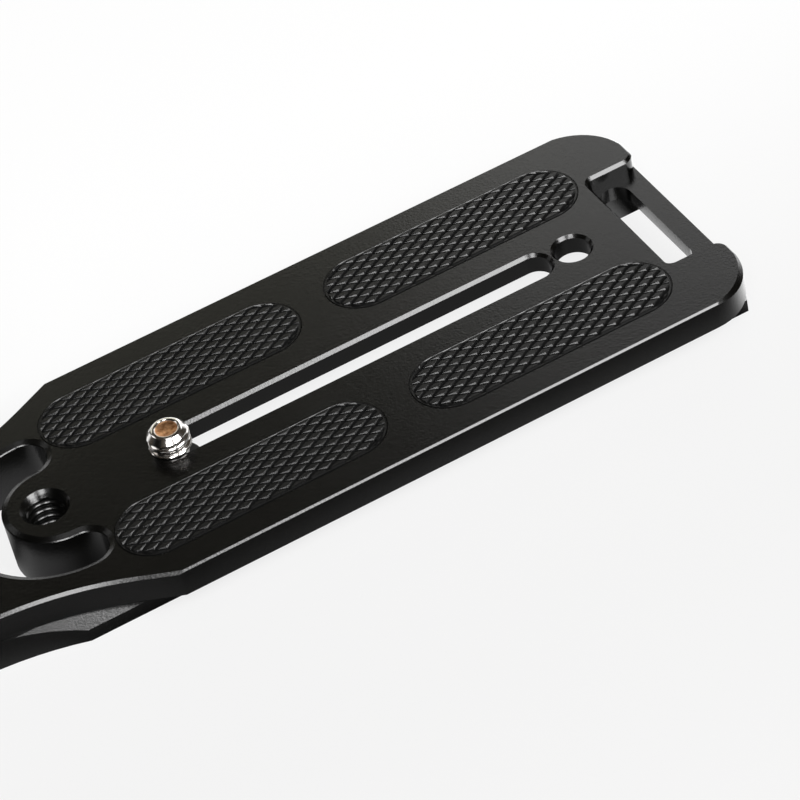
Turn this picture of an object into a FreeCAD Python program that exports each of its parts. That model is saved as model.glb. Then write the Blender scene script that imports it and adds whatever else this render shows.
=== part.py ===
import FreeCAD, Part
import Sketcher
import math
import os

# Camera L bracket: a milled dovetail plate with an upright, four grip pads and a captive camera screw.
# Origin: axis of the tapped tripod hole at the underside of the rail. +X runs along the plate to the strap
# end, +Y across it, +Z up through the camera seat. Millimetres.

SIZES = (
    # base plate and its dovetail rail
    ("plate_width", 48.0),
    ("plate_reach", 104.1),
    ("plate_height", 9.0),
    ("lip_thickness", 4.38),
    ("rail_width", 38.0),
    ("flange_height", 2.1),
    ("corner_round", 8.0),
    ("edge_break", 0.25),
    ("corner_break", 0.7),
    # narrowing of the plate into the corner
    ("waist_start", 18.3),
    ("waist_inset", 0.7),
    ("bend_angle", 27.0),
    ("waist_round", 50.8),
    ("rail_lag", 3.0),
    ("waist_break", 0.4),
    # upright
    ("upright_inner", 22.0),
    ("upright_thickness", 9.0),
    ("upright_height", 92.0),
    ("upright_width", 40.0),
    ("flare_start", 16.0),
    ("corner_outer", 8.0),
    ("corner_inner", 3.0),
    ("upright_window_width", 16.0),
    ("upright_window_low", 40.0),
    ("upright_window_high", 74.0),
    # tapped tab and the window round it
    ("window_shift", 1.5),
    ("window_outer", 14.2),
    ("window_inner", 7.75),
    ("window_break", 0.45),
    ("tripod_bore", 6.4),
    # screw slot, its track, the locating hole
    ("slot_start", 19.95),
    ("slot_end_margin", 24.4),
    ("slot_width", 5.2),
    ("locating_bore", 5.5),
    ("locating_land", 0.15),
    ("web_thickness", 3.2),
    ("track_width", 10.4),
    ("rim_break", 0.45),
    # hollow under the plate
    ("channel_start", 10.0),
    ("channel_width", 22.0),
    ("channel_height", 4.1),
    ("channel_round", 3.0),
    # strap end
    ("recess_length", 8.8),
    ("recess_width", 24.0),
    ("recess_depth", 2.6),
    ("recess_round", 1.2),
    ("mouth_round", 2.2),
    ("mouth_lap", 0.25),
    ("strap_bar", 3.3),
    ("strap_width", 4.9),
    ("strap_length", 21.8),
    ("strap_round", 2.4),
    # grip pads
    ("pad_width", 12.0),
    ("pad_edge_margin", 10.5),
    ("pad_start", 11.3),
    ("pad_between", 16.9),
    ("pad_end_margin", 15.9),
    ("pad_sink", 0.8),
    ("pad_proud", 0.3),
    ("pad_gap", 0.15),
    # captive screw and its washer
    ("thread_diameter", 6.3),
    ("thread_proud", 3.3),
    ("thread_lift", 0.15),
    ("tip_diameter", 3.4),
    ("tip_length", 1.0),
    ("neck_diameter", 5.0),
    ("head_diameter", 8.8),
    ("head_height", 2.6),
    ("head_break", 0.3),
    ("key_width", 4.0),
    ("key_depth", 1.7),
    ("washer_diameter", 8.2),
    ("washer_bore", 5.1),
    ("washer_thickness", 0.6),
    ("running_gap", 0.05),
)

doc = FreeCAD.newDocument("camera_l_bracket")
sheet = doc.addObject("Spreadsheet::Sheet", "Sizes")
for row, (word, number) in enumerate(SIZES, start=1):
    sheet.set("A%d" % row, word)
    sheet.set("B%d" % row, str(number))
    sheet.setAlias("B%d" % row, word)
doc.recompute()


class Span:
    """A length that keeps its number together with the cell expression it is bound to."""

    def __init__(self, number, text):
        self.number = number
        self.text = text

    def mix(self, sign, other):
        right = other if isinstance(other, Span) else Span(float(other), repr(float(other)))
        results = {
            "+": self.number + right.number,
            "-": self.number - right.number,
            "*": self.number * right.number,
            "/": self.number / right.number if right.number else 0.0,
        }
        return Span(results[sign], "(%s %s %s)" % (self.text, sign, right.text))

    def __add__(self, other):
        return self.mix("+", other)

    def __sub__(self, other):
        return self.mix("-", other)

    def __mul__(self, other):
        return self.mix("*", other)

    def __truediv__(self, other):
        return self.mix("/", other)

    def __neg__(self):
        return Span(-self.number, "(0 - %s)" % self.text)


def size(word):
    return Span(float(sheet.get(word)), "Sizes." + word)


NOTHING = Span(0.0, "0")
MARGIN = 3.0
START, END, MIDDLE = range(1, 4)


def flipped(span, side):
    return span if side > 0 else -span


class Drawing:
    """A sketch on one of the body's own planes, every length bound to the sheet."""

    def __init__(self, body, plane_role, name, lift=None):
        self.sketch = body.newObject("Sketcher::SketchObject", name)
        plane = [item for item in body.Origin.OriginFeatures if item.Role == plane_role][0]
        self.sketch.AttachmentSupport = [(plane, "")]
        self.sketch.MapMode = "FlatFace"
        if lift is not None:
            self.sketch.setExpression("AttachmentOffset.Base.z", lift.text)

    def rule(self, *arguments):
        return self.sketch.addConstraint(Sketcher.Constraint(*arguments))

    def bind(self, span, *arguments):
        index = self.rule(*arguments, span.number)
        self.sketch.setExpression("Constraints[%d]" % index, span.text)

    def hold(self, item, spot, across, up):
        """Ties one point of the sketch to the sketch's origin."""
        if across is NOTHING:
            self.rule("PointOnObject", item, spot, -2)
        elif across is not None:
            self.bind(across, "DistanceX", -1, 1, item, spot)
        if up is NOTHING:
            self.rule("PointOnObject", item, spot, -1)
        elif up is not None:
            self.bind(up, "DistanceY", -1, 1, item, spot)

    def line(self, first, last):
        start = FreeCAD.Vector(first[0].number, first[1].number, 0)
        end = FreeCAD.Vector(last[0].number, last[1].number, 0)
        return self.sketch.addGeometry(Part.LineSegment(start, end), False)

    def arc(self, centre, radius, low, high):
        """A counter-clockwise arc between two angles in degrees."""
        middle = FreeCAD.Vector(centre[0].number, centre[1].number, 0)
        circle = Part.Circle(middle, FreeCAD.Vector(0, 0, 1), radius.number)
        return self.sketch.addGeometry(Part.ArcOfCircle(circle, math.radians(low), math.radians(high)), False)

    def polygon(self, points):
        """A closed outline through points that are each held from the origin."""
        lines = [self.line(points[i - 1], points[i]) for i in range(len(points))]
        for i, item in enumerate(lines):
            self.rule("Coincident", item, START, lines[i - 1], END)
            self.hold(item, END, *points[i])
        return lines

    def circle(self, centre, radius):
        middle = FreeCAD.Vector(centre[0].number, centre[1].number, 0)
        item = self.sketch.addGeometry(Part.Circle(middle, FreeCAD.Vector(0, 0, 1), radius.number), False)
        self.hold(item, MIDDLE, *centre)
        self.bind(radius, "Radius", item)

    def pill(self, first, last, radius, upright=False):
        """Two half rounds joined by straight sides, along the sketch's X or, upright, along its Y."""
        turn = 90.0 if upright else 0.0
        tail = self.arc(first, radius, 90.0 + turn, 270.0 + turn)
        head = self.arc(last, radius, -90.0 + turn, 90.0 + turn)
        if upright:
            near = self.line((first[0] + radius, first[1]), (last[0] + radius, last[1]))
            far = self.line((last[0] - radius, last[1]), (first[0] - radius, first[1]))
        else:
            near = self.line((first[0], first[1] - radius), (last[0], last[1] - radius))
            far = self.line((last[0], last[1] + radius), (first[0], first[1] + radius))
        self.rule("Tangent", tail, END, near, START)
        self.rule("Tangent", near, END, head, START)
        self.rule("Tangent", head, END, far, START)
        self.rule("Tangent", far, END, tail, START)
        self.rule("Equal", tail, head)
        self.hold(tail, MIDDLE, *first)
        if upright:
            self.rule("Vertical", near)
            self.hold(head, MIDDLE, None, last[1])
        else:
            self.rule("Horizontal", near)
            self.hold(head, MIDDLE, last[0], None)
        self.bind(radius, "Radius", tail)


def extrude(body, drawing, name, length, back=None):
    """Adds material along the sketch's normal, and behind it when a back length is given."""
    feature = body.newObject("PartDesign::Pad", name)
    feature.Profile = drawing.sketch
    feature.Type = "Length"
    feature.setExpression("Length", length.text)
    if back is not None:
        feature.SideType = "Two sides"
        feature.Type2 = "Length"
        feature.setExpression("Length2", back.text)
    drawing.sketch.Visibility = False
    doc.recompute()
    return feature


def cut(body, drawing, name, depth, along_normal):
    """Takes material away on one side of the sketch and checks that something went."""
    before = body.Shape.Volume
    feature = body.newObject("PartDesign::Pocket", name)
    feature.Profile = drawing.sketch
    feature.Type = "Length"
    feature.Reversed = along_normal
    feature.setExpression("Length", depth.text)
    drawing.sketch.Visibility = False
    doc.recompute()
    if not body.Shape.Volume < before:
        raise RuntimeError(name + " takes nothing away")
    return feature


def edges_of(body, wanted):
    return ["Edge%d" % (i + 1) for i, edge in enumerate(body.Shape.Edges) if wanted(edge)]


def dress(body, kind, name, wanted, amount):
    """A fillet or chamfer on the edges that the test picks out."""
    names = edges_of(body, wanted)
    if not names:
        raise RuntimeError(name + " finds no edge")
    base = body.Tip
    feature = body.newObject("PartDesign::" + kind, name)
    feature.Base = (base, names)
    feature.setExpression("Radius" if kind == "Fillet" else "Size", amount.text)
    doc.recompute()
    if "Invalid" in feature.State:
        raise RuntimeError("%s did not build on %s" % (name, names))
    return feature


def near(first, second, slack=0.02):
    return abs(first - second) < slack


def flat_at(edge, height):
    return near(edge.BoundBox.ZMin, height) and near(edge.BoundBox.ZMax, height)


def middle_of(edge):
    return edge.valueAt((edge.FirstParameter + edge.LastParameter) / 2)


def least(first, second):
    """The smaller of two lengths, worked out in the sheet's own terms."""
    return Span(min(first.number, second.number), "min(%s; %s)" % (first.text, second.text))


# Lengths that several features share
plate_half = size("plate_width") / 2
rail_half = size("rail_width") / 2
plate_height = size("plate_height")
plate_reach = size("plate_reach")
lip_under = plate_height - size("lip_thickness")
flange_height = size("flange_height")
neck_half = rail_half - lip_under + flange_height
waist_half = neck_half - size("waist_inset")
waist_round = size("waist_round")
upright_inner = size("upright_inner")
upright_outer = upright_inner + size("upright_thickness")
upright_half = size("upright_width") / 2
upright_height = size("upright_height")
slot_end = plate_reach - size("slot_end_margin")
rims_apart = size("slot_width") / 2 + size("locating_bore") / 2 + size("rim_break") * 2.0
locating_reach = slot_end + rims_apart + size("locating_land")
recess_start = plate_reach - size("recess_length")
recess_half = size("recess_width") / 2
end_wall = plate_half - size("corner_round") - recess_half
mouth_round = least(size("mouth_round"), end_wall * 0.6)
strap_end = plate_reach - size("strap_bar")
strap_start = strap_end - size("strap_width")
pad_span = (plate_reach - size("pad_end_margin") - size("pad_start") - size("pad_between")) / 2
pad_offset = plate_half - size("pad_edge_margin")
pad_second = size("pad_start") + pad_span + size("pad_between")
top = plate_height.number

# Milled body: base plate and rail as one bar, upright and its rail as another
body = doc.addObject("PartDesign::Body", "bracket_body")
body.Label = "bracket_body"

drawing = Drawing(body, "YZ_Plane", "base_section")
half = (
    (rail_half, NOTHING),
    (rail_half, flange_height),
    (neck_half, lip_under),
    (plate_half, lip_under),
    (plate_half, plate_height),
)
drawing.polygon(list(half) + [(-across, up) for across, up in reversed(half)])
extrude(body, drawing, "base_bar", plate_reach, upright_outer)

drawing = Drawing(body, "XY_Plane", "upright_section")
upright_slope = flange_height - upright_outer
upright_under = size("lip_thickness") * -1.0 - upright_inner
half = (
    (-upright_outer, rail_half),
    (upright_slope, rail_half),
    (upright_under, neck_half),
    (upright_under, upright_half),
    (-upright_inner, upright_half),
)
drawing.polygon(list(half) + [(along, -across) for along, across in reversed(half)])
extrude(body, drawing, "upright_bar", upright_height)


bend_angle = size("bend_angle").number
bend_turn = math.radians(bend_angle)
ease_reach = waist_round.number * math.sin(bend_turn)
ease_rise = waist_round.number * (1 - math.cos(bend_turn))
bend_drop = plate_half.number - waist_half.number - ease_rise
bend_reach = ease_reach + bend_drop / math.tan(bend_turn) - size("waist_start").number


def waist_loop(drawing, side, lag):
    """The waste beside one arm: a straight flank, then a wide arc into the narrow corner."""
    ease = (-size("waist_start") - lag, flipped(waist_half, side))
    outer = flipped(plate_half + MARGIN, side)
    flank_x = ease[0].number + ease_reach
    flank_y = waist_half.number + ease_rise
    slant_x = flank_x + (plate_half.number + MARGIN - flank_y) / math.tan(bend_turn)
    flank = (Span(flank_x, ""), Span(side * flank_y, ""))
    slant_end = (Span(slant_x, ""), outer)
    centre = (ease[0], flipped(waist_half + waist_round, side))
    far_x = -upright_outer - MARGIN
    slant = drawing.line(slant_end, flank)
    if side > 0:
        curve = drawing.arc(centre, waist_round, 270.0, 270.0 + bend_angle)
        curve_flank, curve_ease = END, START
    else:
        curve = drawing.arc(centre, waist_round, 90.0 - bend_angle, 90.0)
        curve_flank, curve_ease = START, END
    level = drawing.line(ease, (far_x, ease[1]))
    back = drawing.line((far_x, ease[1]), (far_x, outer))
    outside = drawing.line((far_x, outer), slant_end)
    drawing.rule("Tangent", slant, END, curve, curve_flank)
    drawing.rule("Tangent", curve, curve_ease, level, START)
    drawing.rule("Coincident", level, END, back, START)
    drawing.rule("Coincident", back, END, outside, START)
    drawing.rule("Coincident", outside, END, slant, START)
    drawing.rule("Horizontal", level)
    drawing.rule("Vertical", back)
    drawing.rule("Horizontal", outside)
    drawing.hold(level, START, *ease)
    drawing.hold(level, END, far_x, None)
    drawing.hold(outside, START, None, outer)
    drawing.bind(waist_round, "Radius", curve)
    turn = Span(math.radians(180.0 + side * bend_angle),
                "(180 %s Sizes.bend_angle) * 1 deg" % ("+" if side > 0 else "-"))
    drawing.bind(turn, "Angle", slant)


drawing = Drawing(body, "XY_Plane", "waist_profile", plate_height)
waist_loop(drawing, 1, NOTHING)
waist_loop(drawing, -1, NOTHING)
cut(body, drawing, "waist_cut", size("lip_thickness"), False)

drawing = Drawing(body, "XY_Plane", "rail_profile")
waist_loop(drawing, 1, size("rail_lag"))
waist_loop(drawing, -1, size("rail_lag"))
cut(body, drawing, "rail_cut", lip_under, True)


def flare_loop(drawing, side):
    """The waste beside the upright's foot, where it widens from the corner to its full width."""
    reach = upright_half + 1.0
    rise = waist_half.number + waist_round.number - reach.number
    lean = math.degrees(math.acos(rise / waist_round.number))
    exit_up = Span(size("flare_start").number + waist_round.number * math.sin(math.radians(lean)), "")
    foot = (flipped(waist_half, side), NOTHING - MARGIN)
    spring = (flipped(waist_half, side), size("flare_start"))
    exit_point = (flipped(reach, side), exit_up)
    low = (flipped(reach, side), NOTHING - MARGIN)
    centre = (flipped(waist_half + waist_round, side), size("flare_start"))
    if side > 0:
        curve = drawing.arc(centre, waist_round, 180.0 - lean, 180.0)
        curve_low, curve_high = END, START
    else:
        curve = drawing.arc(centre, waist_round, 0.0, lean)
        curve_low, curve_high = START, END
    stem = drawing.line(foot, spring)
    outside = drawing.line(exit_point, low)
    close = drawing.line(low, foot)
    drawing.rule("Tangent", stem, END, curve, curve_low)
    drawing.rule("Coincident", curve, curve_high, outside, START)
    drawing.rule("Coincident", outside, END, close, START)
    drawing.rule("Coincident", close, END, stem, START)
    drawing.rule("Vertical", stem)
    drawing.rule("Vertical", outside)
    drawing.rule("Horizontal", close)
    drawing.hold(stem, START, *foot)
    drawing.hold(stem, END, None, spring[1])
    drawing.hold(outside, END, low[0], None)
    drawing.bind(waist_round, "Radius", curve)


def corner_loop(drawing, side):
    """The waste outside one rounded upper corner of the upright."""
    radius = size("corner_round")
    inside = flipped(upright_half - radius, side)
    edge = flipped(upright_half, side)
    beyond = flipped(upright_half + MARGIN, side)
    shoulder = upright_height - radius
    above = upright_height + MARGIN
    if side > 0:
        curve = drawing.arc((inside, shoulder), radius, 0.0, 90.0)
        curve_edge, curve_top = START, END
    else:
        curve = drawing.arc((inside, shoulder), radius, 90.0, 180.0)
        curve_edge, curve_top = END, START
    rise = drawing.line((inside, upright_height), (inside, above))
    across = drawing.line((inside, above), (beyond, above))
    fall = drawing.line((beyond, above), (beyond, shoulder))
    close = drawing.line((beyond, shoulder), (edge, shoulder))
    drawing.rule("Coincident", curve, curve_top, rise, START)
    drawing.rule("Coincident", rise, END, across, START)
    drawing.rule("Coincident", across, END, fall, START)
    drawing.rule("Coincident", fall, END, close, START)
    drawing.rule("Coincident", close, END, curve, curve_edge)
    drawing.rule("Vertical", rise)
    drawing.rule("Horizontal", across)
    drawing.rule("Vertical", fall)
    drawing.rule("Horizontal", close)
    drawing.hold(curve, MIDDLE, inside, shoulder)
    drawing.hold(rise, START, inside, None)
    drawing.hold(close, END, None, shoulder)
    drawing.hold(across, END, beyond, above)
    drawing.bind(radius, "Radius", curve)


drawing = Drawing(body, "YZ_Plane", "upright_profile", -upright_outer - 1.0)
flare_loop(drawing, 1)
flare_loop(drawing, -1)
corner_loop(drawing, 1)
corner_loop(drawing, -1)
cut(body, drawing, "upright_cut", size("upright_thickness") + 1.0, True)

# Rounded corners of the plate, then the inside and outside of the L
reach = plate_reach.number
half_width = plate_half.number


def plate_corner(edge):
    box = edge.BoundBox
    return near(box.XMin, reach) and near(box.XMax, reach) and near(abs(box.YMin), half_width) and box.YLength < 0.1


dress(body, "Fillet", "plate_corners", plate_corner, size("corner_round"))


def outer_corner(edge):
    box = edge.BoundBox
    level = near(box.ZMin, 0.0) and near(box.ZMax, 0.0)
    return level and near(box.XMin, -upright_outer.number) and near(box.XMax, -upright_outer.number)


dress(body, "Fillet", "outer_corner", outer_corner, size("corner_outer"))


def inner_corner(edge):
    box = edge.BoundBox
    return flat_at(edge, top) and near(box.XMin, -upright_inner.number) and near(box.XMax, -upright_inner.number)


dress(body, "Fillet", "inner_corner", inner_corner, size("corner_inner"))


# Broken edges of the seat's outline
def waist_edge(edge):
    middle = middle_of(edge)
    inside_bend = middle.x < bend_reach - 0.1
    return flat_at(edge, top) and inside_bend and abs(middle.y) > waist_half.number - 0.1


dress(body, "Chamfer", "waist_edges", waist_edge, size("waist_break"))


def long_edge(edge):
    middle = middle_of(edge)
    beyond_bend = middle.x > bend_reach + 0.1
    return flat_at(edge, top) and beyond_bend


dress(body, "Chamfer", "plate_edges", long_edge, size("edge_break"))

# The rounded corners carry a wider chamfer than the long edges. It is turned about an axis a little further in
# than the corner's own centre, so it is widest on the diagonal and runs out into the long edges' chamfer.
corner_fade = size("corner_break") * 3.0
corner_back = size("corner_round") + corner_fade * math.sqrt(0.5)
corner_axis = plate_reach - corner_back
sweep = size("corner_round") + corner_fade - size("corner_break")
for label, side in (("far", 1), ("near", -1)):
    across = flipped(plate_half - corner_back, side)
    drawing = Drawing(body, "XZ_Plane", label + "_break_profile", -across)
    border = corner_axis + sweep
    drawing.polygon([
        (border - 1.0, plate_height + 1.0),
        (border + MARGIN, plate_height - MARGIN),
        (border + MARGIN, plate_height + 1.0),
    ])
    axis = drawing.line((corner_axis, NOTHING), (corner_axis, plate_height))
    drawing.sketch.toggleConstruction(axis)
    drawing.rule("Vertical", axis)
    drawing.hold(axis, START, corner_axis, NOTHING)
    drawing.hold(axis, END, None, plate_height)
    before = body.Shape.Volume
    groove = body.newObject("PartDesign::Groove", label + "_corner_break")
    groove.Profile = drawing.sketch
    groove.ReferenceAxis = (drawing.sketch, ["Axis0"])
    groove.Angle = 90.0
    groove.Reversed = side < 0
    drawing.sketch.Visibility = False
    doc.recompute()
    if not body.Shape.Volume < before:
        raise RuntimeError(label + " corner break takes nothing away")


# Window round the tapped tab
def window_loop(drawing):
    shift = size("window_shift")
    wide = size("window_outer")
    narrow = size("window_inner")
    end_round = (wide - narrow) / 2
    middle = (wide + narrow) / 2
    outer = drawing.arc((shift, NOTHING), wide, 90.0, 270.0)
    inner = drawing.arc((shift, NOTHING), narrow, 90.0, 270.0)
    far_end = drawing.arc((shift, middle), end_round, -90.0, 90.0)
    near_end = drawing.arc((shift, -middle), end_round, -90.0, 90.0)
    drawing.rule("Coincident", outer, START, far_end, END)
    drawing.rule("Coincident", inner, START, far_end, START)
    drawing.rule("Coincident", outer, END, near_end, START)
    drawing.rule("Coincident", inner, END, near_end, END)
    drawing.rule("Coincident", inner, MIDDLE, outer, MIDDLE)
    drawing.hold(outer, MIDDLE, shift, NOTHING)
    drawing.hold(far_end, MIDDLE, shift, None)
    drawing.hold(near_end, MIDDLE, shift, None)
    drawing.hold(outer, START, shift, None)
    drawing.hold(inner, START, shift, None)
    drawing.hold(outer, END, shift, None)
    drawing.hold(inner, END, shift, None)
    drawing.bind(wide, "Radius", outer)
    drawing.bind(narrow, "Radius", inner)


drawing = Drawing(body, "XY_Plane", "window_profile")
window_loop(drawing)
cut(body, drawing, "window", plate_height + MARGIN, True)

drawing = Drawing(body, "XY_Plane", "tripod_profile")
drawing.circle((NOTHING, NOTHING), size("tripod_bore") / 2)
cut(body, drawing, "tripod_hole", plate_height + MARGIN, True)

# Screw slot and locating hole
drawing = Drawing(body, "XY_Plane", "slot_profile")
drawing.pill((size("slot_start"), NOTHING), (slot_end, NOTHING), size("slot_width") / 2)
cut(body, drawing, "screw_slot", plate_height + MARGIN, True)

drawing = Drawing(body, "XY_Plane", "locating_profile")
drawing.circle((locating_reach, NOTHING), size("locating_bore") / 2)
cut(body, drawing, "locating_hole", plate_height + MARGIN, True)

# Strap recess, open at the end of the plate
def recess_loop(drawing):
    """The recess: square at the plate, its mouth flared by a round on each side."""
    radius = mouth_round
    spring = plate_reach - radius + size("mouth_lap")
    beyond = spring + radius
    flare = recess_half + radius
    back = drawing.line((recess_start, -recess_half), (recess_start, recess_half))
    far_wall = drawing.line((recess_start, recess_half), (spring, recess_half))
    far_round = drawing.arc((spring, flare), radius, 270.0, 360.0)
    front = drawing.line((beyond, flare), (beyond, -flare))
    near_round = drawing.arc((spring, -flare), radius, 0.0, 90.0)
    near_wall = drawing.line((spring, -recess_half), (recess_start, -recess_half))
    drawing.rule("Coincident", back, END, far_wall, START)
    drawing.rule("Tangent", far_wall, END, far_round, START)
    drawing.rule("Coincident", far_round, END, front, START)
    drawing.rule("Coincident", front, END, near_round, START)
    drawing.rule("Tangent", near_round, END, near_wall, START)
    drawing.rule("Coincident", near_wall, END, back, START)
    drawing.rule("Vertical", back)
    drawing.rule("Vertical", front)
    drawing.hold(back, START, recess_start, -recess_half)
    drawing.hold(back, END, None, recess_half)
    drawing.hold(far_round, MIDDLE, spring, flare)
    drawing.hold(near_round, MIDDLE, spring, -flare)
    drawing.hold(front, START, beyond, None)


drawing = Drawing(body, "XY_Plane", "recess_profile", plate_height)
recess_loop(drawing)
cut(body, drawing, "strap_recess", size("recess_depth"), False)


def recess_corner(edge):
    box = edge.BoundBox
    upright_line = near(box.XLength, 0.0) and near(box.YLength, 0.0) and box.ZLength > 0.5
    return upright_line and near(box.XMin, recess_start.number) and near(abs(box.YMin), recess_half.number)


dress(body, "Fillet", "recess_corners", recess_corner, size("recess_round"))


# Broken rims of every opening in the seat
def window_rim(edge):
    middle = middle_of(edge)
    from_window = math.hypot(middle.x - size("window_shift").number, middle.y)
    on_tab = middle.x < size("channel_start").number and math.hypot(middle.x, middle.y) > size("tripod_bore").number
    return flat_at(edge, top) and on_tab and from_window < size("window_outer").number + 0.05


def tripod_rim(edge):
    middle = middle_of(edge)
    return flat_at(edge, top) and math.hypot(middle.x, middle.y) < size("tripod_bore").number


def slot_rim(edge):
    middle = middle_of(edge)
    between = size("channel_start").number < middle.x < recess_start.number - 1.0
    return flat_at(edge, top) and between and abs(middle.y) < size("locating_bore").number


def recess_rim(edge):
    middle = middle_of(edge)
    widest = recess_half.number + mouth_round.number
    in_recess = middle.x > recess_start.number - 0.05 and abs(middle.y) < widest
    return flat_at(edge, top) and in_recess and middle.x < reach - 0.5


dress(body, "Chamfer", "window_rims", window_rim, size("window_break"))
dress(body, "Chamfer", "tripod_rim", tripod_rim, size("rim_break"))
dress(body, "Chamfer", "slot_rims", slot_rim, size("rim_break"))
dress(body, "Chamfer", "recess_rims", recess_rim, size("rim_break"))

# Hollow under the plate and the track for the screw's head
drawing = Drawing(body, "XY_Plane", "channel_profile")
channel_half = size("channel_width") / 2
drawing.polygon([
    (size("channel_start"), -channel_half),
    (plate_reach + MARGIN, -channel_half),
    (plate_reach + MARGIN, channel_half),
    (size("channel_start"), channel_half),
])
cut(body, drawing, "channel", size("channel_height"), True)


def channel_corner(edge):
    box = edge.BoundBox
    upright_line = near(box.XLength, 0.0) and near(box.YLength, 0.0) and box.ZLength > 0.5
    return upright_line and near(box.XMin, size("channel_start").number) and near(abs(box.YMin), channel_half.number)


dress(body, "Fillet", "channel_corners", channel_corner, size("channel_round"))

drawing = Drawing(body, "XY_Plane", "track_profile")
drawing.pill((size("slot_start"), NOTHING), (locating_reach, NOTHING), size("track_width") / 2)
track_height = plate_height - size("web_thickness")
cut(body, drawing, "track", track_height, True)


def rounded_box(drawing, low, high, half_length, radius):
    """A rectangle across the plate with rounded corners."""
    corners = []
    for across, along, start in ((1, 1, 0.0), (1, -1, 90.0), (-1, -1, 180.0), (-1, 1, 270.0)):
        x = high - radius if along > 0 else low + radius
        y = flipped(half_length - radius, across)
        item = drawing.arc((x, y), radius, start, start + 90.0)
        drawing.hold(item, MIDDLE, x, y)
        corners.append(item)
    turned = ((high - radius, half_length), (low + radius, half_length)), \
             ((low, half_length - radius), (low, -(half_length - radius))), \
             ((low + radius, -half_length), (high - radius, -half_length)), \
             ((high, -(half_length - radius)), (high, half_length - radius))
    for i, (first, last) in enumerate(turned):
        side = drawing.line(first, last)
        drawing.rule("Tangent", corners[i], END, side, START)
        drawing.rule("Tangent", side, END, corners[(i + 1) % 4], START)
    drawing.bind(radius, "Radius", corners[0])


drawing = Drawing(body, "XY_Plane", "strap_profile")
rounded_box(drawing, strap_start, strap_end, size("strap_length") / 2, size("strap_round"))
cut(body, drawing, "strap_slot", plate_height + MARGIN, True)

# Shallow pockets that the pads sit in
pad_half = size("pad_width") / 2
drawing = Drawing(body, "XY_Plane", "pad_profile", plate_height)
for side in (1, -1):
    for start in (size("pad_start"), pad_second):
        across = flipped(pad_offset, side)
        drawing.pill((start, across), (start + pad_span, across), pad_half)
cut(body, drawing, "pad_pockets", size("pad_sink"), False)

# Window of the upright
drawing = Drawing(body, "YZ_Plane", "upright_window_profile", -upright_outer - 1.0)
window_round = size("upright_window_width") / 2
low = (NOTHING, size("upright_window_low") + window_round)
high = (NOTHING, size("upright_window_high") - window_round)
drawing.pill(low, high, window_round, upright=True)
cut(body, drawing, "upright_window", size("upright_thickness") + 2.0, True)

# Grip pads
pads = []
for label, start, side in (
    ("pad_front_left", size("pad_start"), -1),
    ("pad_front_right", pad_second, -1),
    ("pad_rear_left", size("pad_start"), 1),
    ("pad_rear_right", pad_second, 1),
):
    pad = doc.addObject("PartDesign::Body", label)
    pad.Label = label
    drawing = Drawing(pad, "XY_Plane", label + "_profile")
    drawing.pill((NOTHING, NOTHING), (pad_span, NOTHING), pad_half - size("pad_gap"))
    pad_thickness = size("pad_sink") + size("pad_proud")
    extrude(pad, drawing, label + "_sheet", pad_thickness)
    dress(pad, "Fillet", label + "_edge", lambda edge: flat_at(edge, pad_thickness.number), size("pad_proud") * 0.8)
    pad.setExpression("Placement.Base.x", start.text)
    pad.setExpression("Placement.Base.y", flipped(pad_offset, side).text)
    pad.setExpression("Placement.Base.z", (plate_height - size("pad_sink")).text)
    pads.append(pad)

# Washer under the web
gap = size("running_gap")
washer_top = track_height - gap
washer_low = washer_top - size("washer_thickness")
washer = doc.addObject("PartDesign::Body", "screw_washer")
washer.Label = "screw_washer"
drawing = Drawing(washer, "XY_Plane", "washer_profile", washer_low)
drawing.circle((NOTHING, NOTHING), size("washer_diameter") / 2)
drawing.circle((NOTHING, NOTHING), size("washer_bore") / 2)
extrude(washer, drawing, "washer_ring", size("washer_thickness"))
washer.setExpression("Placement.Base.x", size("slot_start").text)

# Captive screw: socket head, thin neck in the slot, camera thread above the seat
screw = doc.addObject("PartDesign::Body", "camera_screw")
screw.Label = "camera_screw"
head_top = washer_low - gap
head_low = head_top - size("head_height")
head_break = size("head_break")
head_radius = size("head_diameter") / 2
neck_radius = size("neck_diameter") / 2
thread_radius = size("thread_diameter") / 2
thread_low = plate_height + size("thread_lift")
tip_up = plate_height + size("thread_proud")
foot_break = size("head_break") / 2
drawing = Drawing(screw, "XZ_Plane", "screw_profile")
drawing.polygon([
    (NOTHING, head_low),
    (head_radius - head_break, head_low),
    (head_radius, head_low + head_break),
    (head_radius, head_top),
    (neck_radius, head_top),
    (neck_radius, thread_low),
    (thread_radius - foot_break, thread_low),
    (thread_radius, thread_low + foot_break),
    (thread_radius, tip_up - size("tip_length")),
    (size("tip_diameter") / 2, tip_up),
    (NOTHING, tip_up),
])
turned = screw.newObject("PartDesign::Revolution", "screw_turned")
turned.Profile = drawing.sketch
turned.ReferenceAxis = (drawing.sketch, ["V_Axis"])
turned.Angle = 360.0
drawing.sketch.Visibility = False
doc.recompute()

drawing = Drawing(screw, "XY_Plane", "key_profile", head_low)
flat = size("key_width") / 2
point = size("key_width") * (1 / math.sqrt(3.0))
drawing.polygon([
    (point, NOTHING),
    (point / 2, flat),
    (-(point / 2), flat),
    (-point, NOTHING),
    (-(point / 2), -flat),
    (point / 2, -flat),
])
cut(screw, drawing, "key_socket", size("key_depth"), True)
screw.setExpression("Placement.Base.x", size("slot_start").text)

doc.recompute()
nodes = [body] + pads + [washer, screw]
for item in doc.Objects:
    if "Invalid" in item.State or "Error" in item.State:
        raise RuntimeError(item.Name + " did not build")
for node in nodes:
    if node.Shape.isNull() or not node.Shape.isValid() or len(node.Shape.Solids) != 1:
        raise RuntimeError(node.Label + " is not one sound solid")

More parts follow.
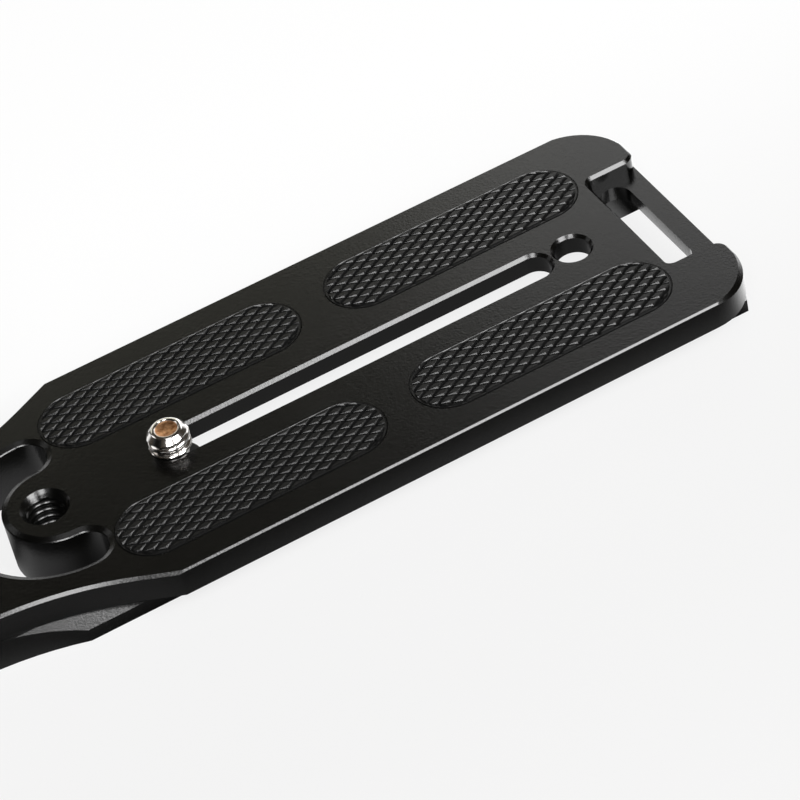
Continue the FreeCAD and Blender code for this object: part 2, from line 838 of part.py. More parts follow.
os.makedirs("parts", exist_ok=True)
for node in nodes:
    node.Shape.exportStep(os.path.join("parts", node.Label + ".step"))
    box = node.Shape.BoundBox
    print(node.Label, "volume %.1f" % node.Shape.Volume,
          "x %.2f..%.2f y %.2f..%.2f z %.2f..%.2f" % (box.XMin, box.XMax, box.YMin, box.YMax, box.ZMin, box.ZMax))
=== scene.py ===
# %% [markdown]
# # Camera L bracket
#
# The bracket is one milled and black anodised aluminium L. A camera sits on four knurled rubber pads and is held
# by a bright 1/4 inch screw that slides in a slot. The solids come from the CAD model and stay as they are. This
# notebook gives them their finishes, cuts the knurl into the pads, turns the screw's thread, taps the hole in the
# tab, and then lights the result and places the camera.

# %% Load the bracket's solids
import math

import bmesh
import bpy
from mathutils import Matrix, Vector


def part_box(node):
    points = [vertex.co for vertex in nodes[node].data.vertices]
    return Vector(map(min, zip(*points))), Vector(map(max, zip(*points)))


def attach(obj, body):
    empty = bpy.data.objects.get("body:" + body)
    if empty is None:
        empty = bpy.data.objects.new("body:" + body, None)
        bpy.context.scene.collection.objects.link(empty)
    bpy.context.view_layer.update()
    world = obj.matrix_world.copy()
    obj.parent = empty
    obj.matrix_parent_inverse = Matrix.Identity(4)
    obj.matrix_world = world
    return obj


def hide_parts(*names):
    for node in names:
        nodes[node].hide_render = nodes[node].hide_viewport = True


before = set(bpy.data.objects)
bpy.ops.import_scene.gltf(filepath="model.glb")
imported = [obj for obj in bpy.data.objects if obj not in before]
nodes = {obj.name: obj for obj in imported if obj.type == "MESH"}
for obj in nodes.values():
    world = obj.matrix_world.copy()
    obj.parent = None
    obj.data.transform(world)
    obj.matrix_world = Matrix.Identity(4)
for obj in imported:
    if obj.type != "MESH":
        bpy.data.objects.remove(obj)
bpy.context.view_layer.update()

MM = 0.001
print("nodes:", ", ".join(sorted(nodes)))

# %% [markdown]
# ## Shared surface effects
#
# Three effects come back in the finishes: a fine grain that scatters light, soft clouds where handling has left the
# surface a little shinier, and sparse specks of dust. Each could be rebuilt in every material, but a node group
# built once and placed with its own values is easier to tune and keeps the finishes related. The groups put out
# only masks and heights; the shaders stay in the materials.


# %% Helpers: nodes with constants on their sockets
def add_node(tree, kind, **constants):
    node = tree.nodes.new(kind)
    for label, value in constants.items():
        node.inputs[label.replace("_", " ")].default_value = value
    return node


def add_math(tree, operation, *terms):
    node = tree.nodes.new("ShaderNodeMath")
    node.operation = operation
    for socket, term in zip(node.inputs, terms):
        if isinstance(term, float):
            socket.default_value = term
        else:
            tree.links.new(term, socket)
    return node.outputs[0]


def new_group(name, inputs, output):
    group = bpy.data.node_groups.new(name, "ShaderNodeTree")
    for label, value in inputs.items():
        socket = group.interface.new_socket(label, in_out="INPUT", socket_type="NodeSocketFloat")
        socket.default_value = value
    group.interface.new_socket(output, in_out="OUTPUT", socket_type="NodeSocketFloat")
    return group, group.nodes.new("NodeGroupInput"), group.nodes.new("NodeGroupOutput")


# %% Group: grain
COARSE_SHARE = 0.45
grain_group, inner, outer = new_group("surface_grain", {"Scale": 9000.0, "Coarse Scale": 2200.0}, "Height")
links = grain_group.links
place = grain_group.nodes.new("ShaderNodeTexCoord")
fine = add_node(grain_group, "ShaderNodeTexNoise", Detail=2.0)
coarse = add_node(grain_group, "ShaderNodeTexNoise", Detail=3.0)
for noise, scale in ((fine, "Scale"), (coarse, "Coarse Scale")):
    links.new(place.outputs["Object"], noise.inputs["Vector"])
    links.new(inner.outputs[scale], noise.inputs["Scale"])
height = add_math(grain_group, "MULTIPLY_ADD", coarse.outputs["Fac"], COARSE_SHARE, fine.outputs["Fac"])
links.new(height, outer.inputs["Height"])
print("group:", grain_group.name)

# %% Group: handling clouds
cloud_group, inner, outer = new_group("handling_clouds", {"Scale": 45.0, "Low": 0.0, "High": 1.0}, "Value")
links = cloud_group.links
place = cloud_group.nodes.new("ShaderNodeTexCoord")
cloud = add_node(cloud_group, "ShaderNodeTexNoise", Detail=5.0, Roughness=0.62)
spread = add_node(cloud_group, "ShaderNodeMapRange", From_Min=0.3, From_Max=0.7)
links.new(place.outputs["Object"], cloud.inputs["Vector"])
links.new(inner.outputs["Scale"], cloud.inputs["Scale"])
links.new(cloud.outputs["Fac"], spread.inputs["Value"])
links.new(inner.outputs["Low"], spread.inputs["To Min"])
links.new(inner.outputs["High"], spread.inputs["To Max"])
links.new(spread.outputs["Result"], outer.inputs["Value"])
print("group:", cloud_group.name)

# %% Group: dust
dust_group, inner, outer = new_group("dust_specks", {"Scale": 900.0, "Amount": 0.1}, "Mask")
links = dust_group.links
place = dust_group.nodes.new("ShaderNodeTexCoord")
cells = dust_group.nodes.new("ShaderNodeTexVoronoi")
links.new(place.outputs["Object"], cells.inputs["Vector"])
links.new(inner.outputs["Scale"], cells.inputs["Scale"])
mask = add_math(dust_group, "LESS_THAN", cells.outputs["Distance"], inner.outputs["Amount"])
links.new(mask, outer.inputs["Mask"])
print("group:", dust_group.name)

# %% [markdown]
# ## Finishes
#
# Anodising leaves a hard, dyed oxide skin on blasted aluminium. Light reflects from the skin as it does from a
# dark plastic, not as from bare metal, so the shader is a black dielectric whose roughness and grain do the work.
# The pads are moulded rubber, duller and a shade lighter. The screw is plated, so it is true metal with a low
# roughness that handling has clouded here and there. The dimple in its tip is painted copper, a painted warm
# reflection.
# The washer under its head is black nylon.


# %% Helpers: parts of a finish
def new_finish(name):
    finish = bpy.data.materials.new(name)
    finish.use_nodes = True
    tree = finish.node_tree
    return finish, tree, tree.nodes["Principled BSDF"]


def place_group(tree, group, **values):
    node = tree.nodes.new("ShaderNodeGroup")
    node.node_tree = group
    for label, value in values.items():
        node.inputs[label.replace("_", " ")].default_value = value
    return node.outputs[0]


def mix_colours(tree, mask, first, second):
    mix = tree.nodes.new("ShaderNodeMix")
    mix.data_type = "RGBA"
    tree.links.new(mask, mix.inputs["Factor"])
    for label, colour in (("A", first), ("B", second)):
        if isinstance(colour, tuple):
            mix.inputs[label].default_value = (*colour, 1.0)
        else:
            tree.links.new(colour, mix.inputs[label])
    return mix.outputs["Result"]


def add_sheen(tree, shader, scale, low, high):
    sheen = place_group(tree, cloud_group, Scale=scale, Low=low, High=high)
    tree.links.new(sheen, shader.inputs["Roughness"])


def add_grain(tree, shader, scale, coarse_scale, strength, distance):
    grain = place_group(tree, grain_group, Scale=scale, Coarse_Scale=coarse_scale)
    bump = add_node(tree, "ShaderNodeBump", Strength=strength, Distance=distance)
    tree.links.new(grain, bump.inputs["Height"])
    tree.links.new(bump.outputs["Normal"], shader.inputs["Normal"])


# %% Black anodised aluminium
black_anodise, tree, shader = new_finish("black_anodise")
tint = place_group(tree, cloud_group, Scale=60.0)
dye = mix_colours(tree, tint, (0.0009, 0.0009, 0.0008), (0.0016, 0.0016, 0.0014))
tree.links.new(dye, shader.inputs["Base Color"])
shader.inputs["Specular IOR Level"].default_value = 0.4
add_sheen(tree, shader, scale=38.0, low=0.19, high=0.23)
add_grain(tree, shader, scale=3400.0, coarse_scale=2000.0, strength=0.42, distance=0.04 * MM)
print("finish:", black_anodise.name)

# %% Moulded pad rubber
pad_rubber, tree, shader = new_finish("pad_rubber")
specks = place_group(tree, dust_group, Scale=700.0, Amount=0.07)
rubber = mix_colours(tree, specks, (0.0050, 0.0050, 0.0050), (0.0220, 0.0218, 0.0212))
tree.links.new(rubber, shader.inputs["Base Color"])
shader.inputs["Specular IOR Level"].default_value = 0.3
add_sheen(tree, shader, scale=260.0, low=0.20, high=0.32)
add_grain(tree, shader, scale=7000.0, coarse_scale=3500.0, strength=0.18, distance=0.05 * MM)
print("finish:", pad_rubber.name)

# %% Where the screw's tip gets its painted reflection
COPPER_REFLECTION_RADIUS = 1.72 * MM
COPPER_REFLECTION_EDGE = 0.12 * MM
screw_low, screw_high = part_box("camera_screw")
SCREW_AXIS = Vector(((screw_low.x + screw_high.x) / 2, 0.0, 0.0))
TIP_CENTRE = SCREW_AXIS + Vector((0, 0, screw_high.z))
bright_plating, tree, shader = new_finish("bright_plating")
place = tree.nodes.new("ShaderNodeTexCoord")
from_tip = tree.nodes.new("ShaderNodeVectorMath")
from_tip.operation = "DISTANCE"
from_tip.inputs[1].default_value = TIP_CENTRE
inside = add_node(tree, "ShaderNodeMapRange", From_Min=COPPER_REFLECTION_RADIUS, From_Max=COPPER_REFLECTION_RADIUS - COPPER_REFLECTION_EDGE)
tree.links.new(place.outputs["Object"], from_tip.inputs[0])
tree.links.new(from_tip.outputs["Value"], inside.inputs["Value"])
copper_reflection_mask = inside.outputs["Result"]
print("screw axis at x =", round(SCREW_AXIS.x / MM, 2), "mm")

# %% Bright plating, with a painted copper reflection in the dimple
DIMPLE_ROUGHNESS = 0.25
tint = place_group(tree, cloud_group, Scale=300.0)
plated = mix_colours(tree, tint, (0.84, 0.81, 0.78), (0.92, 0.90, 0.88))
# Painted reflection: the dimple's copper, in bright and dark patches, stands in for warm light reflected there.
mottle = place_group(tree, cloud_group, Scale=1500.0)
copper = mix_colours(tree, mottle, (0.22, 0.08, 0.022), (0.78, 0.44, 0.23))
tree.links.new(mix_colours(tree, copper_reflection_mask, plated, copper), shader.inputs["Base Color"])
shader.inputs["Metallic"].default_value = 1.0
sheen = place_group(tree, cloud_group, Scale=420.0, Low=0.11, High=0.17)
tree.links.new(add_math(tree, "MULTIPLY_ADD", copper_reflection_mask, DIMPLE_ROUGHNESS, sheen), shader.inputs["Roughness"])
add_grain(tree, shader, scale=5000.0, coarse_scale=1400.0, strength=0.02, distance=0.02 * MM)
print("finish:", bright_plating.name)

# %% Black nylon
black_nylon, tree, shader = new_finish("black_nylon")
tint = place_group(tree, cloud_group, Scale=200.0)
nylon = mix_colours(tree, tint, (0.0100, 0.0100, 0.0104), (0.0160, 0.0158, 0.0154))
tree.links.new(nylon, shader.inputs["Base Color"])
add_sheen(tree, shader, scale=350.0, low=0.42, high=0.55)
add_grain(tree, shader, scale=6000.0, coarse_scale=2000.0, strength=0.10, distance=0.04 * MM)
print("finish:", black_nylon.name)

# %% Give the solids their finishes
OWN_FINISH = {"camera_screw": bright_plating, "screw_washer": black_nylon}
for name, node in nodes.items():
    finish = pad_rubber if name.startswith("pad_") else OWN_FINISH.get(name, black_anodise)
    node.data.materials.clear()
    node.data.materials.append(finish)
print("finishes set on", len(nodes), "solids")

# %% [markdown]
# ## Knurled pads
#
# Each pad is moulded with a diamond knurl: raised lozenges, about 3 by 2 mm, with grooves between them at thirty
# degrees to the pad's length. A bump map would look flat at the edge of the pad. Here a square grid is sheared into
# lozenges, every face is inset and raised, and the sheet is trimmed to the pill outline by one cut after another,
# which works because the outline is convex everywhere. A narrow smooth rim with a raised lip is drawn out from the
# trimmed edge, since the mould can't cut the knurl right up to the outline.

# %% Helpers: open edges, trimming and drawing out
MERGE = 1e-7


def open_edges(bm):
    return [edge for edge in bm.edges if edge.is_boundary]


def trim(bm, point, outward, snap):
    bmesh.ops.bisect_plane(bm, geom=bm.verts[:] + bm.edges[:] + bm.faces[:], dist=snap, plane_co=point,
                           plane_no=outward, clear_outer=True)


def draw_out(bm, edges):
    drawn = bmesh.ops.extrude_edge_only(bm, edges=edges)["geom"]
    rim = [item for item in drawn if isinstance(item, bmesh.types.BMEdge) and item.is_boundary]
    return [item for item in drawn if isinstance(item, bmesh.types.BMVert)], rim


# %% Helper: turn a bmesh into a piece
SHARP_ANGLE = 35


def make_piece(bm, name, finish, body, smooth=False):
    bmesh.ops.recalc_face_normals(bm, faces=bm.faces[:])
    mesh = bpy.data.meshes.new(name)
    bm.to_mesh(mesh)
    bm.free()
    mesh.materials.append(finish)
    piece = bpy.data.objects.new(name, mesh)
    bpy.context.scene.collection.objects.link(piece)
    if smooth:
        mesh.shade_smooth()
        mesh.set_sharp_from_angle(angle=math.radians(SHARP_ANGLE))
    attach(piece, body)
    print(f"{name}: {len(mesh.polygons)} faces")
    return piece


# %% Knurl the sheet of one pad
LOZENGE_LONG = 3.14 * MM
LOZENGE_WIDE = 1.80 * MM
GRID_CELLS = 24
GROOVE_DEPTH = 0.55 * MM
# Groove floor, steep flank and shining flank: width, and share of the groove's depth
KNURL_STEPS = ((0.09 * MM, 0.0), (0.18 * MM, 0.6), (0.21 * MM, 0.4))


def knurled_sheet(centre, top):
    shear = Matrix(((LOZENGE_LONG / 2, LOZENGE_LONG / 2, 0, centre.x),
                    (-LOZENGE_WIDE / 2, LOZENGE_WIDE / 2, 0, centre.y),
                    (0, 0, 1, top - GROOVE_DEPTH),
                    (0, 0, 0, 1)))
    bm = bmesh.new()
    bmesh.ops.create_grid(bm, x_segments=GRID_CELLS, y_segments=GRID_CELLS, size=GRID_CELLS / 2)
    bmesh.ops.transform(bm, matrix=shear, verts=bm.verts[:])
    tops = bm.faces[:]
    for width, share in KNURL_STEPS:
        bmesh.ops.inset_individual(bm, faces=tops, thickness=width, depth=GROOVE_DEPTH * share)
    return bm


# %% Trim the sheet and close the pad
ARC_STEPS = 24
# Rim from the knurl outward: distance inside the outline, and depth under the lozenges' tops, in mm
PAD_RIM = ((0.34, 0.28), (0.13, 0.28), (0.05, 0.20), (0.0, 0.20))


def knurled_pad(node_name):
    low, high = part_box(node_name)
    centre = (low + high) / 2
    radius = (high.y - low.y) / 2
    reach = (high.x - low.x) / 2 - radius
    knurl_radius = radius - PAD_RIM[0][0] * MM
    bm = knurled_sheet(centre, high.z)
    cuts = [(0.0, 90.0), (0.0, -90.0)]
    for end, start in ((reach, -90.0), (-reach, 90.0)):
        cuts += [(end, start + 180.0 / ARC_STEPS * step) for step in range(1, ARC_STEPS)]
    for end, angle in cuts:
        out = Vector((math.cos(math.radians(angle)), math.sin(math.radians(angle)), 0.0))
        trim(bm, centre + Vector((end, 0.0, 0.0)) + out * knurl_radius, out, MERGE)
    rim = open_edges(bm)
    for inset, depth in PAD_RIM:
        verts, rim = draw_out(bm, rim)
        for vert in verts:
            along = min(max(vert.co.x - centre.x, -reach), reach)
            spine = Vector((centre.x + along, centre.y, high.z - depth * MM))
            out = Vector((vert.co.x - spine.x, vert.co.y - spine.y, 0.0)).normalized()
            vert.co = spine + out * (radius - inset * MM)
    verts, rim = draw_out(bm, rim)
    for vert in verts:
        vert.co.z = low.z
    bmesh.ops.holes_fill(bm, edges=rim)
    return bm


for node_name in sorted(name for name in nodes if name.startswith("pad_")):
    pad = make_piece(knurled_pad(node_name), node_name + "_knurled", pad_rubber, "bracket")
    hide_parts(node_name)

# %% [markdown]
# ## Camera screw
#
# The screw is turned from steel and plated: a socket head, a thin neck that runs in the slot, and a coarse thread
# with a chamfered, dimpled tip. A thread is a helix, so stacked rings would look wrong where the crests meet the
# tip. One wavy line of vertices, a tooth for each pitch, is spun through a full turn while it climbs one pitch. Its
# end then lies on its own start one tooth higher, and merging closes the helix. The chamfer is turned last, as on
# the lathe: whatever stands outside its cone is pushed in to it, so the groove runs out where the cone meets the
# root.

# %% Sizes of the screw
HEAD_RADIUS = (screw_high.x - screw_low.x) / 2
HEAD_FOOT = screw_low.z
HEAD_TOP = HEAD_FOOT + 2.6 * MM
PITCH = 25.4 / 20 * MM
CREST = 3.15 * MM
ROOT = 2.50 * MM
THREAD_FOOT = 9.15 * MM
COLLAR_TOP = THREAD_FOOT + 0.28 * MM
TIP_TOP = screw_high.z
TIP_SHOULDER = TIP_TOP - 0.12 * MM
TIP_RADIUS = 2.22 * MM
TIP_SLOPE = 0.9
TIP_CROWN = 2.05 * MM
# Rings of the dimple from its rim inward: radius, and depth under the tip, in mm
DIMPLE_RINGS = ((1.78, 0.03), (1.66, 0.14), (1.32, 0.24), (0.55, 0.34))
THREAD_START = 0.09
TURN_STEPS = 96
LEVEL = 1e-6
print("thread from z =", round(COLLAR_TOP / MM, 2), "to", round(TIP_SHOULDER / MM, 2), "mm")


# %% Helpers: distance from an axis
def radius_at(vert, axis):
    return math.hypot(vert.co.x - axis.x, vert.co.y - axis.y)


def set_radius(vert, axis, radius):
    scale = radius / radius_at(vert, axis)
    vert.co.x = axis.x + (vert.co.x - axis.x) * scale
    vert.co.y = axis.y + (vert.co.y - axis.y) * scale


# %% Helper: a helical thread surface
# Half a tooth: place along the pitch, and rise from root to crest
HALF_TOOTH = ((0.06, 0.04), (0.12, 0.26), (0.20, 0.56), (0.30, 0.82), (0.40, 0.96))
TOOTH = ((0.0, 0.0), *HALF_TOOTH, (0.5, 1.0), *((1.0 - along, rise) for along, rise in reversed(HALF_TOOTH)))
SPARE_TURNS = 3
THREAD_SNAP = 1e-8


def thread_surface(bm, axis, root, crest, bottom, top, steps, phase=0.0):
    line = []
    for turn in range(int((top - bottom) / PITCH) + SPARE_TURNS):
        for along, rise in TOOTH:
            height = bottom + (turn - SPARE_TURNS / 2 + along + phase) * PITCH
            line.append(bm.verts.new(axis + Vector((root + (crest - root) * rise, 0.0, height))))
    edges = [bm.edges.new(pair) for pair in zip(line, line[1:])]
    bmesh.ops.spin(bm, geom=line + edges, cent=axis, axis=(0, 0, 1), dvec=(0, 0, PITCH / steps),
                   angle=math.tau, steps=steps, use_merge=False)
    bmesh.ops.remove_doubles(bm, verts=bm.verts[:], dist=MERGE)
    trim(bm, (0, 0, bottom), (0, 0, -1), THREAD_SNAP)
    trim(bm, (0, 0, top), (0, 0, 1), THREAD_SNAP)


# %% Thread and chamfered tip
bm = bmesh.new()
thread_surface(bm, SCREW_AXIS, ROOT, CREST, COLLAR_TOP, TIP_SHOULDER, TURN_STEPS, THREAD_START)
for vert in bm.verts:
    cone = TIP_RADIUS + (TIP_TOP - vert.co.z) * TIP_SLOPE
    if radius_at(vert, SCREW_AXIS) > cone:
        set_radius(vert, SCREW_AXIS, cone)
print("thread:", len(bm.faces), "faces")

# %% Rounded rim and dimple in the tip
shoulder = [edge for edge in open_edges(bm) if edge.verts[0].co.z > TIP_SHOULDER - LEVEL]
crown = bmesh.ops.create_circle(bm, segments=TURN_STEPS, radius=TIP_CROWN, matrix=Matrix.Translation(TIP_CENTRE))
ring = list(dict.fromkeys(edge for vert in crown["verts"] for edge in vert.link_edges))
bmesh.ops.bridge_loops(bm, edges=shoulder + ring)
for radius, depth in DIMPLE_RINGS:
    verts, ring = draw_out(bm, ring)
    for vert in verts:
        set_radius(vert, SCREW_AXIS, radius * MM)
        vert.co.z = TIP_TOP - depth * MM
bmesh.ops.holes_fill(bm, edges=open_edges(bm))
print("dimple:", len(bm.faces), "faces")

# %% Collar, neck and head, turned in one spin
COLLAR_LAP = 0.02 * MM
FOOT_BREAK = 0.08 * MM
COLLAR_BREAK = 0.10 * MM
EDGE_BREAK = 0.12 * MM
NECK_FILLET = 0.15 * MM
HEAD_CHAMFER = 0.3 * MM
profile = [
    (ROOT - COLLAR_BREAK, COLLAR_TOP + COLLAR_LAP),
    (CREST - EDGE_BREAK, COLLAR_TOP),
    (CREST, COLLAR_TOP - COLLAR_BREAK),
    (CREST, THREAD_FOOT + FOOT_BREAK),
    (CREST - COLLAR_BREAK, THREAD_FOOT),
    (ROOT, THREAD_FOOT),
    (ROOT, HEAD_TOP + NECK_FILLET),
    (ROOT + NECK_FILLET, HEAD_TOP),
    (HEAD_RADIUS - EDGE_BREAK, HEAD_TOP),
    (HEAD_RADIUS, HEAD_TOP - EDGE_BREAK),
    (HEAD_RADIUS, HEAD_FOOT + HEAD_CHAMFER),
    (HEAD_RADIUS - HEAD_CHAMFER, HEAD_FOOT),
]
line = [bm.verts.new(SCREW_AXIS + Vector((radius, 0.0, height))) for radius, height in profile]
edges = [bm.edges.new(pair) for pair in zip(line, line[1:])]
bmesh.ops.spin(bm, geom=line + edges, cent=SCREW_AXIS, axis=(0, 0, 1), angle=math.tau, steps=TURN_STEPS,
               use_merge=True)
bmesh.ops.remove_doubles(bm, verts=bm.verts[:], dist=MERGE)
print("turned head:", len(bm.faces), "faces")

# %% Hex socket in the head
KEY_HALF_WIDTH = 2.0 * MM
KEY_DEPTH = 1.7 * MM
SIXTH_TURN = math.pi / 3
rim = [edge for edge in open_edges(bm) if abs(edge.verts[0].co.z - HEAD_FOOT) < LEVEL]
verts, mouth = draw_out(bm, rim)
for vert in verts:
    angle = math.atan2(vert.co.y, vert.co.x - SCREW_AXIS.x)
    set_radius(vert, SCREW_AXIS, KEY_HALF_WIDTH / math.cos(angle % SIXTH_TURN - SIXTH_TURN / 2))
verts, socket_floor = draw_out(bm, mouth)
for vert in verts:
    vert.co.z += KEY_DEPTH
bmesh.ops.holes_fill(bm, edges=socket_floor)
bmesh.ops.holes_fill(bm, edges=open_edges(bm))
screw = make_piece(bm, "camera_screw_turned", bright_plating, "screw", smooth=True)
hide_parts("camera_screw")

# %% [markdown]
# ## Thread in the tapped hole
#
# The CAD hole is a plain bore at the thread's outer diameter. The ridges between the turns stand inward from it.
# The same climbing line makes them, with the crests pointing to the axis. The countersink runs on from the CAD rim:
# crests inside its cone are pushed out to it. The two open ends are drawn out to the bore to close the sleeve.

# %% Tap the hole
HOLE_AXIS = Vector((0, 0, 0))
TAP_BORE = 3.19 * MM
TAP_ROOT = TAP_BORE - 0.02 * MM
TAP_CREST = 2.62 * MM
TAP_FOOT = 0.25 * MM
RIM_FOOT = 8.54 * MM
COUNTERSINK_SLOPE = 0.8
TAP_STEPS = 72
bm = bmesh.new()
thread_surface(bm, HOLE_AXIS, TAP_ROOT, TAP_CREST, TAP_FOOT, RIM_FOOT, TAP_STEPS)
for vert in bm.verts:
    cone = TAP_BORE - (RIM_FOOT - vert.co.z) * COUNTERSINK_SLOPE
    if radius_at(vert, HOLE_AXIS) < cone:
        set_radius(vert, HOLE_AXIS, cone)
for vert in draw_out(bm, open_edges(bm))[0]:
    set_radius(vert, HOLE_AXIS, TAP_BORE)
bmesh.ops.remove_doubles(bm, verts=bm.verts[:], dist=MERGE)
bmesh.ops.bridge_loops(bm, edges=open_edges(bm))
make_piece(bm, "tripod_thread_ridges", black_anodise, "bracket", smooth=True)

# %% [markdown]
# ## Studio
#
# The picture is a product shot on white. The floor is plain and pale. The camera sees it close to pure white, with
# just enough of its own shading left to keep the bracket's shadow, and a painted shade makes it darker towards the
# front. In reflections it is a graded card of painted reflection, white behind the plate and painted dark in front
# of it, as when a photographer flags the near edge to keep it black. It is painted lighter again under the far half,
# before the near wall, past the strap end, under the strap bar, in the slot and through the window, so the walls
# there pick up painted reflections. The room is white to the camera. It is dim to everything else, except that
# reflections find it white near the horizon.
#
# A broad soft light in front and above makes the broken edges shine, and a second one on the left lights the flanks
# of the knurl. A card behind and to the right lifts the far end of the plate, and two low strips behind it do the
# same for the middle and the far edge. Small cards above and on the far left are there for the bright screw.

# %% Floor
FLOOR_HALF = 3.0
bm = bmesh.new()
bmesh.ops.create_grid(bm, x_segments=1, y_segments=1, size=FLOOR_HALF)
mesh = bpy.data.meshes.new("studio_floor")
bm.to_mesh(mesh)
bm.free()
floor = bpy.data.objects.new("studio_floor", mesh)
bpy.context.scene.collection.objects.link(floor)
paper = bpy.data.materials.new("studio_paper")
paper.use_nodes = True
mesh.materials.append(paper)
print("floor:", floor.name)

# %% What reflections see of the floor
paper_tree = paper.node_tree
paper_tree.nodes.clear()
place = paper_tree.nodes.new("ShaderNodeTexCoord")
spot = paper_tree.nodes.new("ShaderNodeSeparateXYZ")
paper_tree.links.new(place.outputs["Object"], spot.inputs[0])


def fade_along(axis, start, end, low, high):
    fade = add_node(paper_tree, "ShaderNodeMapRange", From_Min=start * MM, From_Max=end * MM, To_Min=low,
                    To_Max=high)
    fade.interpolation_type = "SMOOTHSTEP"
    paper_tree.links.new(spot.outputs[axis], fade.inputs["Value"])
    return fade.outputs["Result"]


# A fade runs along an axis from a start to an end in mm, and between two strengths. A zone multiplies its fades.
# Painted reflection: these strengths are seen only in reflections, dark before the plate and bright in the zones
# below.
PAINTED_REFLECTION_BASE = ("Y", 14, 26, 0.06, 1.0)
PAINTED_REFLECTION_ZONES = {
    "under the far half": (("Y", 2, 14, 0.0, 0.75), ("Y", 26, 14, 0.0, 1.0), ("X", 96, 88, 0.0, 1.0)),
    "before the near wall": (("Y", -35, -26, 0.0, 0.5), ("X", 0, 70, 0.5, 1.0), ("Y", -18, -25, 0.0, 1.0)),
    "in the slot": (("X", 14, 28, 0.0, 0.3), ("X", 94, 88, 0.0, 1.0), ("Y", -14, -8, 0.0, 1.0),
                    ("Y", 8, 2, 0.0, 1.0)),
    "under the strap bar": (("X", 96.8, 98.6, 0.0, 1.9), ("X", 102, 99.5, 0.0, 1.0), ("Y", -24, -14, 0.0, 1.0)),
    "past the strap end": (("X", 102, 110, 0.0, 2.2), ("Y", -30, -19, 0.0, 1.0)),
    "through the window": (("X", 4, -8, 0.0, 0.55), ("Y", -22, -14, 0.0, 1.0), ("Y", 4, -3, 0.0, 1.0)),
}
shine = fade_along(*PAINTED_REFLECTION_BASE)
for fades in PAINTED_REFLECTION_ZONES.values():
    zone = fade_along(*fades[0])
    for fade in fades[1:]:
        zone = add_math(paper_tree, "MULTIPLY", zone, fade_along(*fade))
    shine = add_math(paper_tree, "ADD", shine, zone)
print("shine zones:", ", ".join(PAINTED_REFLECTION_ZONES))

# %% Paper for the camera, for reflections and for light
GLOW_SHARE = 0.9
# Painted shade: the glow the camera sees is graded darker towards the front, near the bracket.
CAMERA_GLOW_PAINTED_SHADE = ("Y", -60, 70, 0.85, 0.98)
path = paper_tree.nodes.new("ShaderNodeLightPath")
matt = add_node(paper_tree, "ShaderNodeBsdfDiffuse", Color=(0.86, 0.86, 0.86, 1.0))
glow = paper_tree.nodes.new("ShaderNodeEmission")
# Painted reflection: an emission that only reflections see, with the graded strengths above.
card = paper_tree.nodes.new("ShaderNodeEmission")
paper_tree.links.new(fade_along(*CAMERA_GLOW_PAINTED_SHADE), glow.inputs["Strength"])
paper_tree.links.new(shine, card.inputs["Strength"])


def mix_shaders(tree, share, first, second):
    mix = tree.nodes.new("ShaderNodeMixShader")
    for socket, source in zip(mix.inputs, (share, first, second)):
        tree.links.new(source, socket)
    return mix.outputs[0]


glow_share = add_math(paper_tree, "MULTIPLY", path.outputs["Is Camera Ray"], GLOW_SHARE)
seen = mix_shaders(paper_tree, glow_share, matt.outputs[0], glow.outputs[0])
seen = mix_shaders(paper_tree, path.outputs["Is Glossy Ray"], seen, card.outputs[0])
out = paper_tree.nodes.new("ShaderNodeOutputMaterial")
paper_tree.links.new(seen, out.inputs["Surface"])
print("paper:", paper.name)

# %% World
WHITE_BELOW, DIM_ABOVE = 0.05, 0.15
world = bpy.data.worlds.new("studio_room")
bpy.context.scene.world = world
world.use_nodes = True
tree = world.node_tree
tree.nodes.clear()
room = add_node(tree, "ShaderNodeBackground", Color=(0.34, 0.28, 0.21, 1.0), Strength=0.11)
white = add_node(tree, "ShaderNodeBackground", Color=(1.0, 1.0, 1.0, 1.0))
path = tree.nodes.new("ShaderNodeLightPath")
place = tree.nodes.new("ShaderNodeTexCoord")
heading = tree.nodes.new("ShaderNodeSeparateXYZ")
low_sky = add_node(tree, "ShaderNodeMapRange", From_Min=DIM_ABOVE, From_Max=WHITE_BELOW)
tree.links.new(place.outputs["Generated"], heading.inputs[0])
tree.links.new(heading.outputs["Z"], low_sky.inputs["Value"])
mirrored = add_math(tree, "MAXIMUM", path.outputs["Is Glossy Ray"], path.outputs["Is Transmission Ray"])
horizon = add_math(tree, "MULTIPLY", mirrored, low_sky.outputs["Result"])
seen_white = add_math(tree, "MAXIMUM", path.outputs["Is Camera Ray"], horizon)
out = tree.nodes.new("ShaderNodeOutputWorld")
tree.links.new(mix_shaders(tree, seen_white, room.outputs[0], white.outputs[0]), out.inputs["Surface"])
print("world:", world.name)

# %% Soft lights
MIDDLE = (0.045, 0.0, 0.005)
FAR_END = (0.09, 0.0, 0.0)
WHITE = (1.0, 1.0, 1.0)
CREAM = (1.0, 0.99, 0.84)


def soft_light(name, position, width, height, power, target=MIDDLE, colour=WHITE):
    lamp = bpy.data.lights.new(name, "AREA")
    lamp.shape = "RECTANGLE"
    lamp.size = width
    lamp.size_y = height
    lamp.energy = power
    lamp.color = colour
    holder = bpy.data.objects.new(name, lamp)
    bpy.context.scene.collection.objects.link(holder)
    aim = Vector(target) - Vector(position)
    holder.rotation_euler = aim.to_track_quat("-Z", "Y").to_euler()
    holder.location = position


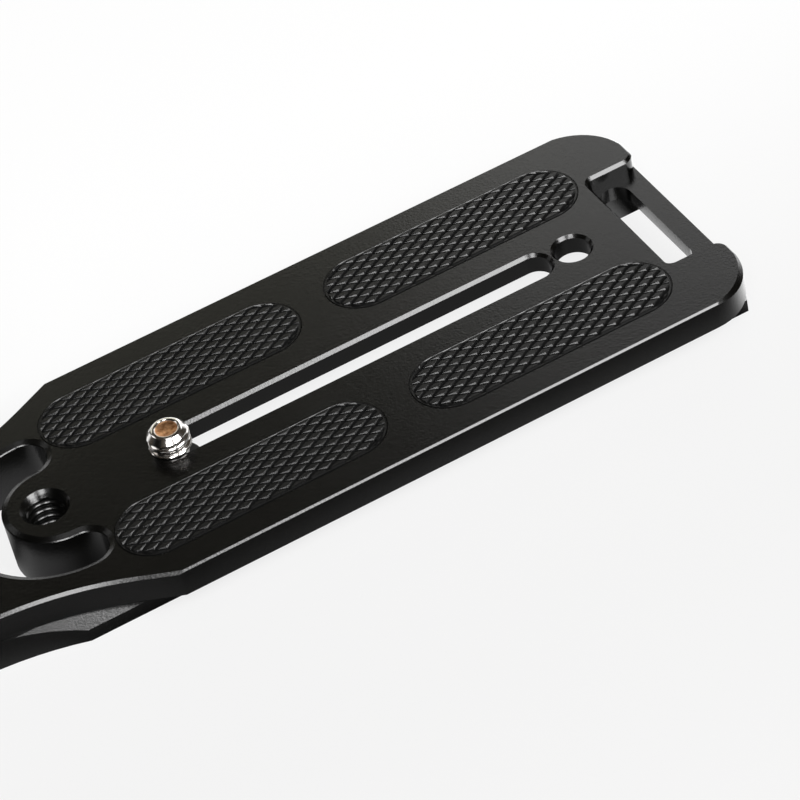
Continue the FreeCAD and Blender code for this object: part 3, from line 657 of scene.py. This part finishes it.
soft_light("front_softbox", (0.322, -0.48, 0.50), width=0.36, height=0.30, power=6.7)
soft_light("left_softbox", (-0.165, -0.50, 0.59), width=0.28, height=0.28, power=4.5)
soft_light("back_card", (0.46, 0.37, 0.33), width=0.48, height=0.28, power=0.74, target=FAR_END)
soft_light("low_card", (0.07, 0.40, 0.245), width=0.36, height=0.12, power=0.13, colour=CREAM)
soft_light("horizon_card", (0.20, 0.46, 0.065), width=0.70, height=0.11, power=0.26)
soft_light("top_card", (0.02, -0.03, 0.62), width=0.24, height=0.24, power=0.22)
soft_light("side_card", (-0.32, 0.35, 0.35), width=0.22, height=0.26, power=0.20)

# %% [markdown]
# ## Camera
#
# A long lens from about half a metre, above the plate's front edge and a little to its left. The horizon is rolled,
# so the plate runs up to the right. The numbers were found by fitting the plate's straight edges, the slot and the
# pads to the picture, and the lens axis is in the middle of the frame.

# %% Place the camera
LENS = 160.13
SENSOR = 36.0
DISTANCE = 512.38 * MM
CLIP_START = 10 * MM
TURN, RISE, ROLL = 0.3343, 0.7291, -0.2328
AIM = Vector((57.86, 0.0, 9.0)) * MM
FRAME_PIXELS = 800
AIM_PIXEL = (403.70, 330.47)

back = Vector((-math.sin(TURN) * math.cos(RISE), -math.cos(TURN) * math.cos(RISE), math.sin(RISE)))
level_right = Vector((0, 0, 1)).cross(back).normalized()
level_up = back.cross(level_right)
right = level_right * math.cos(ROLL) + level_up * math.sin(ROLL)
up = level_up * math.cos(ROLL) - level_right * math.sin(ROLL)
pixel = DISTANCE * SENSOR / (LENS * FRAME_PIXELS)
aside = (AIM_PIXEL[0] - FRAME_PIXELS / 2) * pixel
above = (FRAME_PIXELS / 2 - AIM_PIXEL[1]) * pixel
eye = AIM + back * DISTANCE - right * aside - up * above
lens = bpy.data.cameras.new("photo_camera")
lens.lens = LENS
lens.sensor_width = SENSOR
lens.clip_start = CLIP_START
camera = bpy.data.objects.new("photo_camera", lens)
bpy.context.scene.collection.objects.link(camera)
camera.matrix_world = Matrix((
    (right.x, up.x, back.x, eye.x),
    (right.y, up.y, back.y, eye.y),
    (right.z, up.z, back.z, eye.z),
    (0, 0, 0, 1),
))
bpy.context.scene.camera = camera
bpy.context.scene.view_settings.view_transform = "Standard"
print("camera at", [round(v, 3) for v in eye])
